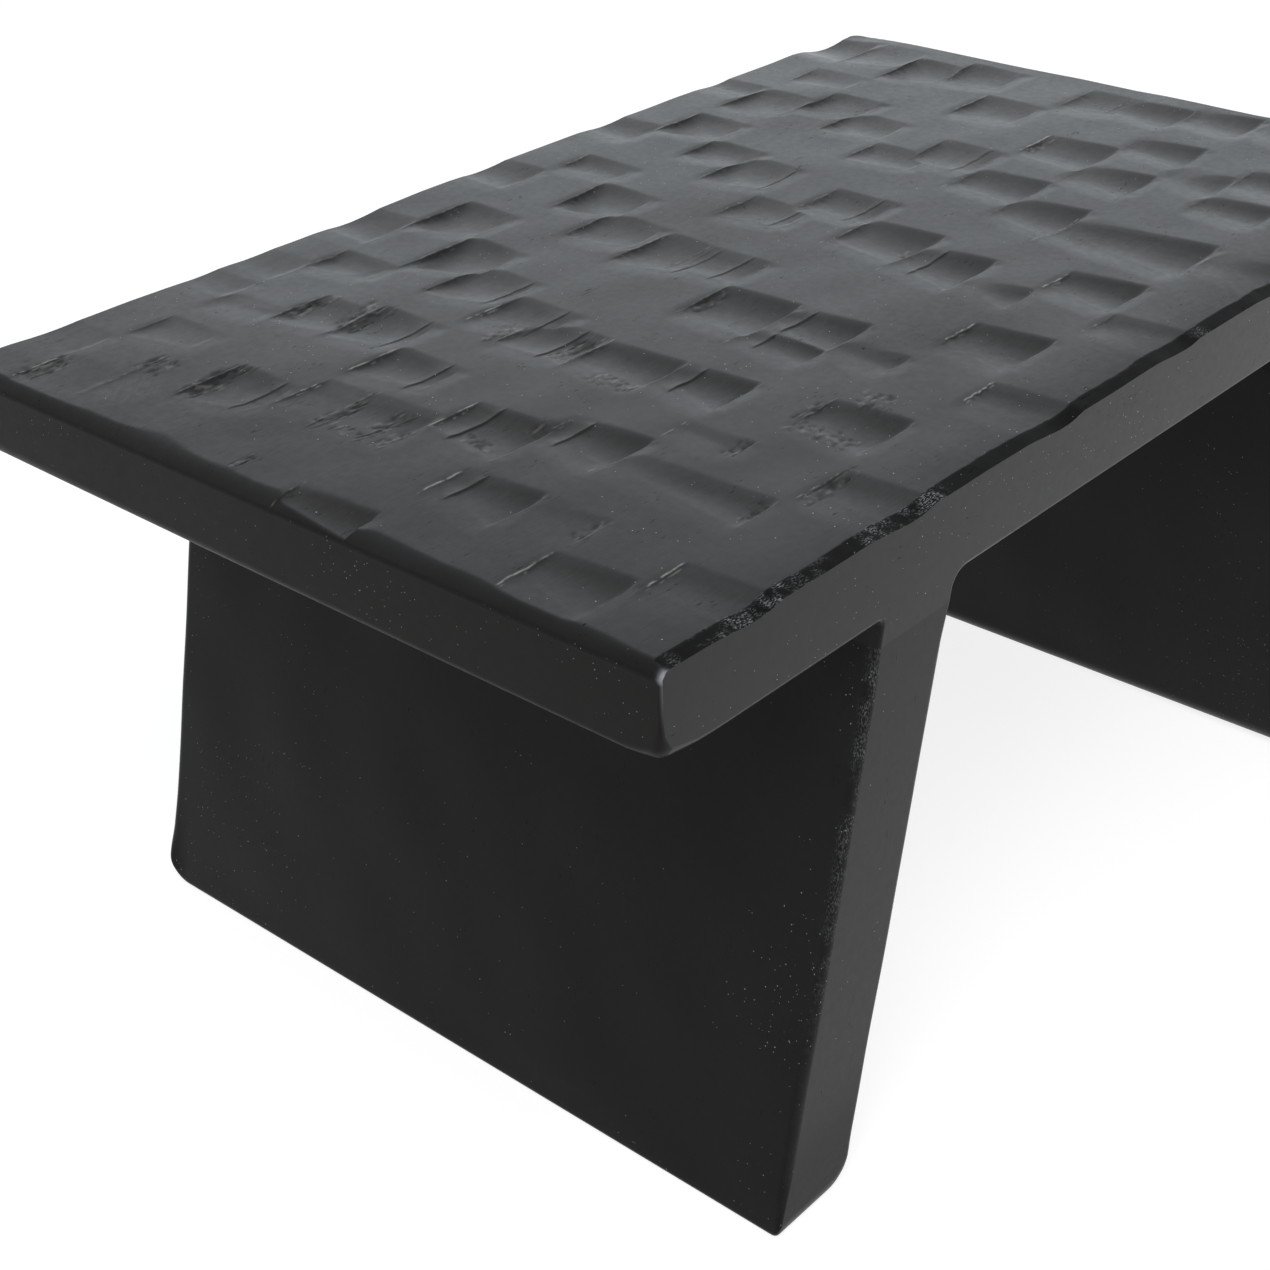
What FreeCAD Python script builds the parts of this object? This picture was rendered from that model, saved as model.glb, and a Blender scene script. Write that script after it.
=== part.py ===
import FreeCAD, Part

import os

import Sketcher

# A low wooden stool. Four edge-glued boards make the top, which is hewn all over with shallow adze
# scoops. It stands on two splayed panel legs of four boards each, and every leg board is glued to a
# shoulder under the top with a hidden loose tenon. X runs along the top, Y from the front long side
# to the back, Z up. The origin is the middle of the footprint, on the floor.

BOARDS = 4

SIZES = {
    "top_length": 490.0,
    "top_width": 300.0,
    "top_thickness": 29.0,
    "seat_height": 234.0,
    "leg_inset_head": 94.5,
    "leg_inset_foot": 50.5,
    "leg_thickness": 36.5,
    "outer_cove_radius": 1.5,
    "inner_cove_radius": 7.0,
    "shoulder_land": 0.5,
    "arris_radius": 2.5,
    "foot_inner_radius": 11.5,
    "tenon_thickness": 12.0,
    "tenon_width": 45.0,
    "tenon_edge_radius": 4.0,
    "tenon_end_chamfer": 1.5,
    "tenon_in_top": 24.0,
    "tenon_in_leg": 28.0,
    "glue_gap": 0.1,
    "mortise_end_gap": 1.0,
    "adze_swing_radius": 60.0,
}

# Rows of adze scoops, from the front edge to the back. Each row gives the span of the blade across the
# top, then each scoop's start and end along it, from the left end. The first and last rows and a few
# end scoops run off the edge.
SCOOP_ROWS = (
    ((-6, 31), ((22, 49), (91, 120), (169, 197), (244, 268), (305, 341), (381, 407), (443, 472))),
    ((33, 62), ((4, 32), (67, 88), (126, 157), (201, 235), (263, 294), (303, 342), (362, 389),
                (394, 425), (447, 477))),
    ((61, 87), ((33, 53), (73, 91), (100, 116), (176, 196), (244, 268), (305, 340), (380, 412),
                (450, 482))),
    ((86, 115), ((26, 51), (71, 98), (122, 150), (166, 186), (180, 209), (250, 284), (313, 347),
                 (363, 394), (406, 434), (451, 481))),
    ((114, 145), ((-12, 15), (56, 87), (119, 147), (173, 207), (257, 293), (333, 364), (379, 415),
                  (445, 475))),
    ((146, 176), ((41, 71), (118, 148), (205, 234), (280, 310), (349, 383), (440, 475))),
    ((166, 196), ((42, 69), (73, 101), (128, 157), (198, 235), (257, 284), (337, 363), (408, 442))),
    ((197, 226), ((29, 59), (91, 122), (138, 170), (207, 238), (284, 319), (361, 390), (443, 476))),
    ((221, 250), ((10, 47), (89, 116), (154, 187), (228, 258), (302, 326), (377, 407), (436, 470))),
    ((249, 278), ((3, 30), (51, 72), (83, 99), (130, 151), (182, 213), (260, 281), (321, 350),
                  (361, 395), (408, 432), (446, 480))),
    ((277, 305), ((23, 51), (89, 116), (111, 137), (156, 190), (227, 259), (299, 329), (376, 398),
                  (443, 483))),
)

doc = FreeCAD.newDocument("stool")
sheet = doc.addObject("Spreadsheet::Sheet", "Sizes")
for row, (name, number) in enumerate(SIZES.items(), 1):
    sheet.set(f"A{row}", name)
    sheet.set(f"B{row}", str(number))
    sheet.setAlias(f"B{row}", name)
doc.recompute()

# Lengths that follow from the driving sizes, as expressions on the sheet.
BOARD_WIDTH = f"(Sizes.top_width / {BOARDS})"
UNDERSIDE = "(Sizes.seat_height - Sizes.top_thickness)"
SPLAY_RUN = "(Sizes.leg_inset_head - Sizes.leg_inset_foot)"
SPLAY_SINE = f"({SPLAY_RUN} / sqrt({SPLAY_RUN} ^ 2 + {UNDERSIDE} ^ 2))"
SPLAY_COSINE = f"({UNDERSIDE} / sqrt({SPLAY_RUN} ^ 2 + {UNDERSIDE} ^ 2))"
OUTER_COVE_DROP = f"(Sizes.outer_cove_radius * (1 + {SPLAY_SINE}))"
INNER_COVE_DROP = f"(Sizes.inner_cove_radius * (1 - {SPLAY_SINE}))"
ARRIS_DROP = f"(Sizes.arris_radius * {SPLAY_SINE})"
JOINT = f"({UNDERSIDE} - {OUTER_COVE_DROP} - {INNER_COVE_DROP} - {ARRIS_DROP} - Sizes.shoulder_land)"
HEAD_INNER = "(Sizes.leg_inset_head + Sizes.leg_thickness)"
FOOT_INNER = "(Sizes.leg_inset_foot + Sizes.leg_thickness)"
JOINT_OUTER = f"(Sizes.leg_inset_foot + {SPLAY_RUN} * {JOINT} / {UNDERSIDE})"
JOINT_MIDDLE = f"({JOINT_OUTER} + Sizes.leg_thickness / 2)"
JOINT_INNER = f"({JOINT_OUTER} + Sizes.leg_thickness)"


def value(expression):
    """The present number of an expression on the sheet."""
    return float(sheet.evalExpression(expression))


def from_end(distance, side):
    """A place along the top, measured in from the end where the leg of that side stands."""
    if side == "left":
        return distance
    return f"(Sizes.top_length - {distance})"


def front_of(board):
    """Where a board begins across the top, from the front long side; boards count from 1."""
    return f"({board - 1} * {BOARD_WIDTH})"


def place(obj, along, across, up):
    """Move an object to a place given from the left end, the front side and the floor."""
    obj.setExpression("Placement.Base.x", f"{along} - Sizes.top_length / 2")
    obj.setExpression("Placement.Base.y", f"{across} - Sizes.top_width / 2")
    obj.setExpression("Placement.Base.z", up)


def origin_plane(body, role):
    """The body's own origin plane of that role."""
    return next(plane for plane in body.Origin.OriginFeatures if plane.Role == role)


def new_sketch(body, name, role):
    """An empty sketch on one of the body's origin planes."""
    sketch = body.newObject("Sketcher::SketchObject", name)
    sketch.AttachmentSupport = (origin_plane(body, role), [""])
    sketch.MapMode = "FlatFace"
    return sketch


def close_outline(sketch, points):
    """Straight edges round the points, joined end to end."""
    count = len(points)
    for index, point in enumerate(points):
        sketch.addGeometry(Part.LineSegment(point, points[(index + 1) % count]), False)
    for index in range(count):
        sketch.addConstraint(Sketcher.Constraint("Coincident", index, 2, (index + 1) % count, 1))


def side_outline(body, corners):
    """The board's outline seen from the front, each corner held by two expressions."""
    sketch = new_sketch(body, f"{body.Name}_outline", "XZ_Plane")
    close_outline(sketch, [FreeCAD.Vector(value(along), value(up), 0) for along, up in corners])
    for index, (along, up) in enumerate(corners):
        for kind, expression in (("DistanceX", along), ("DistanceY", up)):
            if value(expression) == 0.0:
                axis = -2 if kind == "DistanceX" else -1
                sketch.addConstraint(Sketcher.Constraint("PointOnObject", index, 1, axis))
                continue
            held = Sketcher.Constraint(kind, -1, 1, index, 1, value(expression))
            number = sketch.addConstraint(held)
            sketch.setExpression(f"Constraints[{number}]", expression)
    return sketch


def thicken(body, sketch, length, reverse):
    """Pad a sketch to a solid of that length."""
    pad = body.newObject("PartDesign::Pad", f"{body.Name}_pad")
    pad.Profile = sketch
    pad.setExpression("Length", length)
    pad.Reversed = reverse
    doc.recompute()
    return pad


def ends_of(edge):
    """The two end points of an edge."""
    return [vertex.Point for vertex in edge.Vertexes]


def near(first, second):
    """Whether two coordinates are the same, to a modelling tolerance."""
    return abs(first - second) < 1e-4


def dress(body, base, feature, label, radius, choose):
    """Round or chamfer the edges of a feature that the chooser picks."""
    picked = [f"Edge{index}" for index, edge in enumerate(base.Shape.Edges, 1) if choose(edge)]
    if not picked:
        raise RuntimeError(f"{body.Name}: no edge to {label}")
    dressed = body.newObject(f"PartDesign::{feature}", f"{body.Name}_{label}")
    dressed.Base = (base, picked)
    dressed.setExpression("Size" if feature == "Chamfer" else "Radius", radius)
    doc.recompute()
    body.Tip = dressed
    return dressed


def outer_face(board):
    """The local place of a board's bare long edge, or None where it is glued on both sides."""
    if board == 1:
        return 0.0
    if board == BOARDS:
        return value(BOARD_WIDTH)
    return None


def lies_on(edge, across):
    """Whether an edge lies in the upright plane at that local place across the board."""
    return across is not None and all(near(point.y, across) for point in ends_of(edge))


def crosses(edge):
    """Whether an edge runs straight across the board."""
    start, end = ends_of(edge)[0], ends_of(edge)[-1]
    return near(start.x, end.x) and near(start.z, end.z) and not near(start.y, end.y)


def cut(base, tool, label):
    """The base with the tool taken out; a cut that removes nothing is an error."""
    result = doc.addObject("Part::Cut", label)
    result.Base = base
    result.Tool = tool
    doc.recompute()
    if not result.Shape.Volume < base.Shape.Volume:
        raise RuntimeError(f"{label}: the cut removes nothing")
    return result


def loose_tenon(name, side, board, growth, end_growth):
    """A bar with eased edges, lying along the middle of its leg across the joint with the top.

    The mortise that takes it is the same bar, grown by the glue gap and by a little room at its ends.
    """
    body = doc.addObject("PartDesign::Body", name)
    sketch = new_sketch(body, f"{name}_section", "XY_Plane")
    thickness = f"(Sizes.tenon_thickness + 2 * {growth})"
    width = f"(Sizes.tenon_width + 2 * {growth})"
    half_thickness = value(thickness) / 2
    half_width = value(width) / 2
    close_outline(sketch, [FreeCAD.Vector(-half_thickness, -half_width, 0),
                           FreeCAD.Vector(half_thickness, -half_width, 0),
                           FreeCAD.Vector(half_thickness, half_width, 0),
                           FreeCAD.Vector(-half_thickness, half_width, 0)])
    for index, kind in enumerate(("Horizontal", "Vertical", "Horizontal", "Vertical")):
        sketch.addConstraint(Sketcher.Constraint(kind, index))
    sketch.addConstraint(Sketcher.Constraint("Symmetric", 0, 1, 1, 2, -1, 1))
    for kind, edge, expression in (("DistanceX", 0, thickness), ("DistanceY", 1, width)):
        held = Sketcher.Constraint(kind, edge, 1, edge, 2, value(expression))
        number = sketch.addConstraint(held)
        sketch.setExpression(f"Constraints[{number}]", expression)
    length = f"(Sizes.tenon_in_top + Sizes.tenon_in_leg + 2 * {end_growth})"
    bar = thicken(body, sketch, length, False)
    bar = dress(body, bar, "Fillet", "ease", f"Sizes.tenon_edge_radius + {growth}",
                lambda edge: not near(ends_of(edge)[0].z, ends_of(edge)[-1].z))
    if end_growth == "0":
        dress(body, bar, "Chamfer", "lead_in", "Sizes.tenon_end_chamfer",
              lambda edge: near(ends_of(edge)[0].z, ends_of(edge)[-1].z))
    lean = 1 if side == "left" else -1
    body.Placement.Rotation = FreeCAD.Rotation(FreeCAD.Vector(0, lean, 0), 1)
    body.setExpression("Placement.Rotation.Angle", f"atan({SPLAY_RUN} / {UNDERSIDE})")
    below = f"(Sizes.tenon_in_leg + {end_growth})"
    place(body, from_end(f"({JOINT_MIDDLE} - {below} * {SPLAY_SINE})", side),
          f"{front_of(board)} + {BOARD_WIDTH} / 2", f"{JOINT} - {below} * {SPLAY_COSINE}")
    doc.recompute()
    return body


def top_blank(board):
    """A top board before it is hewn: a plank with a coved shoulder under it for each leg."""
    body = doc.addObject("PartDesign::Body", f"top_blank_{board}")
    left = [("0", UNDERSIDE), ("Sizes.leg_inset_head", UNDERSIDE), (JOINT_OUTER, JOINT),
            (JOINT_INNER, JOINT), (HEAD_INNER, UNDERSIDE)]
    right = [(from_end(along, "right"), up) for along, up in reversed(left[1:])]
    outline = left + right + [("Sizes.top_length", UNDERSIDE), ("Sizes.top_length", "Sizes.seat_height"),
                              ("0", "Sizes.seat_height")]
    plank = thicken(body, side_outline(body, outline), BOARD_WIDTH, True)
    coved = plank
    for label, along in (("outer_cove", "Sizes.leg_inset_head"), ("inner_cove", HEAD_INNER)):
        corners = [value(from_end(along, side)) for side in ("left", "right")]
        coved = dress(body, coved, "Fillet", f"{label}s", f"Sizes.{label}_radius",
                      lambda edge: crosses(edge) and near(ends_of(edge)[0].z, value(UNDERSIDE))
                      and any(near(ends_of(edge)[0].x, corner) for corner in corners))
    ends = (0.0, value("Sizes.top_length"))
    bare = outer_face(board)
    dress(body, coved, "Fillet", "arrises", "Sizes.arris_radius",
          lambda edge: (crosses(edge) and any(near(ends_of(edge)[0].x, end) for end in ends))
          or (lies_on(edge, bare)
              and not all(near(point.z, value(JOINT)) for point in ends_of(edge))))
    place(body, "0", front_of(board), "0")
    doc.recompute()
    return body


def leg_blank(side, board):
    """A leg board before it is mortised: upright and splayed, its foot rolled off towards the inner face."""
    body = doc.addObject("PartDesign::Body", f"{side}_leg_blank_{board}")
    outline = [(from_end(along, side), up) for along, up in (
        ("Sizes.leg_inset_foot", "0"), (FOOT_INNER, "0"), (JOINT_INNER, JOINT), (JOINT_OUTER, JOINT))]
    slab = thicken(body, side_outline(body, outline), BOARD_WIDTH, True)

    def along_foot(edge, distance):
        """Whether an edge runs across the foot at that distance in from the end of the top."""
        start = ends_of(edge)[0]
        return crosses(edge) and near(start.z, 0.0) and near(start.x, value(from_end(distance, side)))

    rolled = dress(body, slab, "Fillet", "foot_roll", "Sizes.foot_inner_radius",
                   lambda edge: along_foot(edge, FOOT_INNER))
    bare = outer_face(board)
    joint = value(JOINT)
    dress(body, rolled, "Fillet", "arrises", "Sizes.arris_radius",
          lambda edge: along_foot(edge, "Sizes.leg_inset_foot")
          or (lies_on(edge, bare) and not all(near(point.z, joint) for point in ends_of(edge))))
    place(body, "0", front_of(board), "0")
    doc.recompute()
    return body


def scoop(name, start, end, low, high):
    """One swing of the adze: a drum lying across the top, sunk in so that it cuts from start to end."""
    drum = doc.addObject("Part::Cylinder", name)
    drum.setExpression("Radius", "Sizes.adze_swing_radius")
    drum.Height = high - low
    drum.Placement.Rotation = FreeCAD.Rotation(FreeCAD.Vector(1, 0, 0), -90)
    half_length = (end - start) / 2
    place(drum, f"{(start + end) / 2}", f"{low}",
          f"Sizes.seat_height + sqrt(Sizes.adze_swing_radius ^ 2 - {half_length} ^ 2)")
    return drum


# Every sub-part by its name: tenons first, then the leg boards and top boards mortised for them.
pieces = {}
mortises = {}
for side in ("left", "right"):
    for board in range(1, BOARDS + 1):
        tenon = loose_tenon(f"{side}_tenon_{board}", side, board, "0", "0")
        pieces[tenon.Label] = tenon
        mortise = loose_tenon(f"{side}_mortise_{board}", side, board, "Sizes.glue_gap",
                              "Sizes.mortise_end_gap")
        mortises[side, board] = mortise
        leg_board = cut(leg_blank(side, board), mortise, f"{side}_leg_board_{board}")
        pieces[leg_board.Label] = leg_board

rows = []
for row, ((low, high), spans) in enumerate(SCOOP_ROWS, 1):
    blows = doc.addObject("Part::MultiFuse", f"row_{row}")
    blows.Shapes = [scoop(f"scoop_{row}_{index}", start, end, low, high)
                    for index, (start, end) in enumerate(spans, 1)]
    rows.append((low, high, blows))
doc.recompute()

for board in range(1, BOARDS + 1):
    front = value(front_of(board))
    back = front + value(BOARD_WIDTH)
    name = f"top_board_{board}"
    hewn = cut(top_blank(board), mortises["left", board], f"{name}_left_mortise")
    hewn = cut(hewn, mortises["right", board], f"{name}_right_mortise")
    for row, (low, high, blows) in enumerate(rows, 1):
        if low < back and high > front:
            hewn = cut(hewn, blows, f"{name}_row_{row}")
    hewn.Label = name
    pieces[name] = hewn

doc.recompute()
for obj in doc.Objects:
    if "Invalid" in obj.State or "Error" in obj.State:
        raise RuntimeError(f"{obj.Label} failed: {obj.State}")
for name, piece in pieces.items():
    shape = piece.Shape
    if shape.isNull() or not shape.isValid() or len(shape.Solids) != 1:
        raise RuntimeError(f"{name} is not one valid solid")

os.makedirs("parts", exist_ok=True)
for name, piece in pieces.items():
    piece.Shape.exportStep(f"parts/{name}.step")
    box = piece.Shape.optimalBoundingBox()
    print(f"{name}: {piece.Shape.Volume / 1000:.1f} cm3, x {box.XMin:.2f} to {box.XMax:.2f},"
          f" y {box.YMin:.2f} to {box.YMax:.2f}, z {box.ZMin:.2f} to {box.ZMax:.2f}")
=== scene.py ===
import math

import bpy
import numpy as np
from mathutils import Matrix, Vector


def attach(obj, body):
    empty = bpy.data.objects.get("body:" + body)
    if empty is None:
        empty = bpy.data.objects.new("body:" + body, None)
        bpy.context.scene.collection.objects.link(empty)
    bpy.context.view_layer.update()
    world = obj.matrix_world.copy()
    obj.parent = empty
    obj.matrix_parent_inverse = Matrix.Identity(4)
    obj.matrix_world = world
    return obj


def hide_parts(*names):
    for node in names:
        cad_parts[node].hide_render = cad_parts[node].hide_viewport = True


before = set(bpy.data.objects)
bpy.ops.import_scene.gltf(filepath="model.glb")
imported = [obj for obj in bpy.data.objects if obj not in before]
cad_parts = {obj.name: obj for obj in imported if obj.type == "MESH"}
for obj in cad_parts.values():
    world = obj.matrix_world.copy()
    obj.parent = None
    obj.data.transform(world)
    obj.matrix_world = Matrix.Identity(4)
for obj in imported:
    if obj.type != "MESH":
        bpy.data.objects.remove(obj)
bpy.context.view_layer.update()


# The top is four boards glued edge to edge, 490 mm long and 300 mm wide together. Its upper face is worked
# with a narrow adze in rows of short scoops, and its arrises are eased by hand. A shoulder stands under each
# board over each leg, with a cove cut into both inside corners, and the whole top is stained black.

MM = 0.001
TOP_LENGTH = 490.0
TOP_WIDTH = 300.0
BOARD_COUNT = 4
BOARD_WIDTH = TOP_WIDTH / BOARD_COUNT
SEAT_HEIGHT = 234.0
UNDERSIDE = 205.0
JOINT_HEIGHT = 196.63
LEG_OUTER_FOOT = 50.5
LEG_INNER_FOOT = 87.0
LEG_RUN = 44.0 / 205.0
LEG_SLOPE = math.degrees(math.atan(LEG_RUN))
OUTER_COVE = 1.5
INNER_COVE = 7.0
LONG_ARRIS_ACROSS = 5.0
LONG_ARRIS_DOWN = 1.15
LONG_ARRIS_UNEVEN = 0.14
LONG_ARRIS_NICKS = 0.06
LONG_ARRIS_DIP = 0.35
END_ARRIS_ACROSS = 7.2
END_ARRIS_DOWN = 3.3
END_ARRIS_LEAST = 0.65
END_ARRIS_GROWTH = 0.35
END_ARRIS_REACH = 90.0
END_ARRIS_UNEVEN = 0.16
BACK_ARRIS_ACROSS = 1.2
BACK_ARRIS_DOWN = 0.3
SIDE_ARRIS = 1.6
LOW_ARRIS_FRONT = 2.2
LOW_ARRIS_BACK = 6.5
LOW_CORNER = 4.6
UPPER_CORNER = 0.7
BACK_UPPER_CORNER = 4.0

# The adze's rows. Each has the blade's two edges across the top, from the front long side, how hard the row
# was struck, the share of its full depth that a blow has at either edge, and where each blow goes in and
# comes out along the top, from the near end. Lengths are millimetres.
ADZE_ROWS = (
    (-6, 31, 0.65, 0.8, 0.6,
     ((22, 49), (91, 120), (169, 197), (244, 268), (305, 341), (381, 407), (443, 472))),
    (33, 62, 0.95, 1.0, 0.5,
     ((4, 32), (126, 157), (201, 235), (263, 294), (362, 389), (394, 425), (447, 477))),
    (32, 89, 0.8, 1.0, 0.3, ((304, 342),)),
    (33, 88, 0.7, 1.0, 0.4, ((69, 91),)),
    (61, 87, 0.75, 0.9, 0.0, ((33, 53), (100, 116), (176, 196), (244, 269), (380, 412), (450, 482))),
    (86, 116, 1.0, 1.0, 0.4,
     ((26, 53), (71, 99), (122, 150), (166, 186), (180, 209), (248, 284), (313, 347), (363, 394), (406, 434),
      (451, 481))),
    (114, 146, 0.95, 0.95, 0.6,
     ((-12, 15), (56, 88), (119, 148), (173, 209), (257, 293), (333, 364), (379, 415), (446, 475))),
    (146, 176, 0.85, 0.7, 0.95, ((41, 72), (118, 148), (205, 234), (280, 310), (349, 383))),
    (139, 165, 0.8, 0.6, 0.8, ((440, 475),)),
    (166, 196, 0.85, 0.5, 1.1,
     ((42, 69), (73, 101), (128, 157), (198, 235), (257, 285), (337, 363), (408, 442))),
    (197, 226, 0.9, 0.45, 1.25,
     ((29, 59), (91, 122), (138, 170), (207, 238), (284, 319), (361, 390), (443, 477))),
    (221, 250, 0.95, 0.4, 1.3,
     ((10, 47), (89, 116), (154, 187), (228, 260), (302, 326), (377, 407), (436, 470))),
    (249, 278, 0.9, 0.45, 1.25,
     ((3, 31), (51, 72), (83, 99), (130, 151), (182, 213), (260, 281), (321, 350), (361, 395), (408, 432),
      (446, 480))),
    (277, 305, 0.75, 0.8, 0.6,
     ((23, 51), (89, 111), (111, 137), (156, 190), (227, 259), (299, 329), (376, 398), (443, 483))),
)

# The shape of a blow: the share of its length before the deepest place, the slope that it comes out at, and
# how wide the near and the far wall are, each with what wear takes or adds. Then the strands and chips.
DEEPEST_SHARE = 0.6
DEEPEST_SHARE_LOST = 0.14
EXIT_SLOPE = 0.35
EXIT_SLOPE_LOST = 0.1
NEAR_WALL = 2.6
NEAR_WALL_WORN = 1.2
FAR_WALL = 0.75
FAR_WALL_WORN = 1.3
STRAND_WIDTH = 0.27
STRAND_HEIGHT = 0.15
CHIP_HEIGHT = 0.18

# Blows that differ from their row, by the row's first edge and the blow's start. Some went in faintly, some
# hardly cut at the far edge, some have a ledge where the blade skipped, and some have pale fibres along the
# far edge.
FAINT_BLOWS = {(61, 33): 0.6, (61, 100): 0.6, (221, 10): 0.12, (221, 89): 0.8, (249, 3): 0.4, (249, 51): 0.7,
               (249, 83): 0.6, (249, 408): 0.6, (249, 446): 0.5, (277, 23): 0.5, (277, 89): 0.5,
               (277, 111): 0.5, (277, 443): 1.2, (166, 42): 0.5, (114, -12): 1.8}
FAR_SHARES = {(-6, 305): 0.1, (114, -12): 0.4, (114, 173): 0.75, (146, 41): 0.4, (146, 280): 0.95,
              (249, 182): 1.5, (249, 321): 1.4, (221, 154): 1.5}
LEDGES = {(86, 26): 108.0, (86, 71): 107.9, (86, 122): 106.4, (86, 166): 106.9, (86, 180): 107.4,
          (86, 248): 105.4, (114, 56): 135.7, (146, 118): 156.5, (146, 205): 156.0, (146, 280): 154.0,
          (146, 349): 153.9, (166, 73): 172.0, (166, 128): 172.9, (166, 198): 169.4, (166, 257): 171.8,
          (197, 29): 203.3, (197, 91): 202.3, (197, 138): 201.2, (197, 284): 199.6}
LEDGE_STEP = 0.16
LEDGE_RIDGE = 0.5
FRAYED_EDGES = {(-6, 22): (28, 47), (-6, 169): (175, 195), (33, 4): (5, 29), (33, 201): (207, 231),
                (33, 263): (269, 288), (86, 26): (29, 48), (114, 56): (62, 85), (166, 42): (46, 64),
                (166, 73): (76, 98), (166, 128): (129, 147), (114, 379): (388, 411), (249, 3): (5, 26)}

# Where the slab was left low by the first rough hewing: the middle along and across the top, how far the
# hollow reaches each way, and its depth. The whole face is also a little low and wavy, with a nap on the hewn
# floors.
HOLLOWS = ((140, 300, 60, 55, 1.3), (415, 300, 50, 50, 1.0), (45, 300, 45, 50, 0.6), (330, 300, 30, 40, 0.4),
           (466, 300, 15, 22, 1.5), (490, 300, 22, 22, 1.8), (60, 40, 60, 50, 0.4), (300, 90, 70, 60, 0.5),
           (225, 200, 60, 60, 0.4))
GROUND_LOW = 0.1
GROUND_WAVE = 0.11
NAP_HEIGHT = 0.014

# Where the oil has dried out of the face: the middle along and across the top, the reach each way, and how
# much. The near end and the front are dry as well, each over a reach from its edge.
DRY_PATCHES = ((220, 65, 40, 26, 0.45), (250, 195, 34, 24, 0.3), (382, 240, 40, 26, 0.3),
               (34, 189, 30, 40, 0.6))
DRY_END_REACH = 120.0
DRY_END = 0.5
DRY_FRONT_REACH = 34.0
DRY_FRONT = 0.7

# Stretches of the long arrises with pale flecks, part fibres laid bare by wear and part painted glints of
# light on the rough chamfer: start and end along the top, and how much.
RUBBED_AND_GLINT_SPANS = ((3, 10, 0.5), (15, 56, 1.0), (54, 74, 0.5), (84, 128, 0.9), (264, 277, 0.5))

# Patches where the fibres broke out: first and last along the top, then across it. The scuff is a dry,
# scratched patch, given the same way.
TORN_PATCHES = (
    (43, 59, 146, 152), (42, 49, 153, 170), (50, 67, 153, 161), (40, 65, 171, 177), (117, 127, 115, 135),
    (62, 69, 120, 135), (79, 90, 116, 123), (153, 168, 45, 58), (127, 138, 38, 63), (135, 149, 61, 65),
    (75, 89, 33, 39), (104, 116, 61, 67), (36, 51, 61, 67), (35, 48, 241, 254),
    (5, 28, 270, 280), (94, 117, 244, 251), (98, 123, 220, 232), (29, 60, 220, 229), (119, 138, 174, 181),
    (268, 277, 116, 121), (6, 17, 168, 173), (92, 120, 25, 31), (124, 146, 148, 156), (181, 204, 141, 146),
    (388, 412, 141, 146),
)
SCUFF = (10, 36, 227, 253)
SCUFF_FADE = 8.0

# The uneven fields cover the top and a margin round it. A field along one line has one wide step across.
NOISE_MARGIN = 60.0
NOISE_LENGTH = 610.0
NOISE_WIDTH = 420.0
LINE_STEP = 9.0


def grain_noise(along, across, along_step, across_step, seed):
    """An uneven field from -1 to 1: random heights on a grid of along_step by across_step millimetres, and
    between the grid's points the mean of the nearest four, weighted by nearness."""
    grid = (int(NOISE_WIDTH / across_step) + 2, int(NOISE_LENGTH / along_step) + 2)
    heights = np.random.default_rng(seed).uniform(-1.0, 1.0, grid)
    column = (along + NOISE_MARGIN) / along_step
    line = (across + NOISE_MARGIN) / across_step
    column, line = np.broadcast_arrays(column, line)
    left = column.astype(int)
    below = line.astype(int)
    right_share = column - left
    upper_share = line - below
    lower = heights[below, left] * (1.0 - right_share) + heights[below, left + 1] * right_share
    upper = heights[below + 1, left] * (1.0 - right_share) + heights[below + 1, left + 1] * right_share
    return lower * (1.0 - upper_share) + upper * upper_share


def line_noise(along, step, seed):
    """The same uneven field along one line only."""
    return grain_noise(along, 0.0 * along, step, LINE_STEP, seed)


def ripples(first, second, shortest, longest, count, seed):
    """A gently uneven field, mostly from -1 to 1: the sum of count sine waves of random length, heading and
    phase, over the square root of their count."""
    hand = np.random.default_rng(seed)
    field = np.zeros(np.broadcast(first, second).shape)
    for _ in range(count):
        length = hand.uniform(shortest, longest)
        heading = hand.uniform(0.0, 2.0 * np.pi)
        phase = hand.uniform(0.0, 2.0 * np.pi)
        travel = first * np.cos(heading) + second * np.sin(heading)
        field = field + np.sin(2.0 * np.pi * travel / length + phase)
    return field / np.sqrt(count)


def spot(along, across, along_middle, across_middle, along_reach, across_reach):
    """A soft spot, 1 at its middle: e to the power of minus the sum of the two squared distances from the
    middle, each over its reach."""
    along_share = (along - along_middle) / along_reach
    across_share = (across - across_middle) / across_reach
    return np.exp(-along_share ** 2 - across_share ** 2)


def eased(value):
    """A smooth step: 0 below 0, 1 above 1, and three times the square less twice the cube between."""
    value = np.clip(value, 0.0, 1.0)
    return value * value * (3.0 - 2.0 * value)


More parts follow.
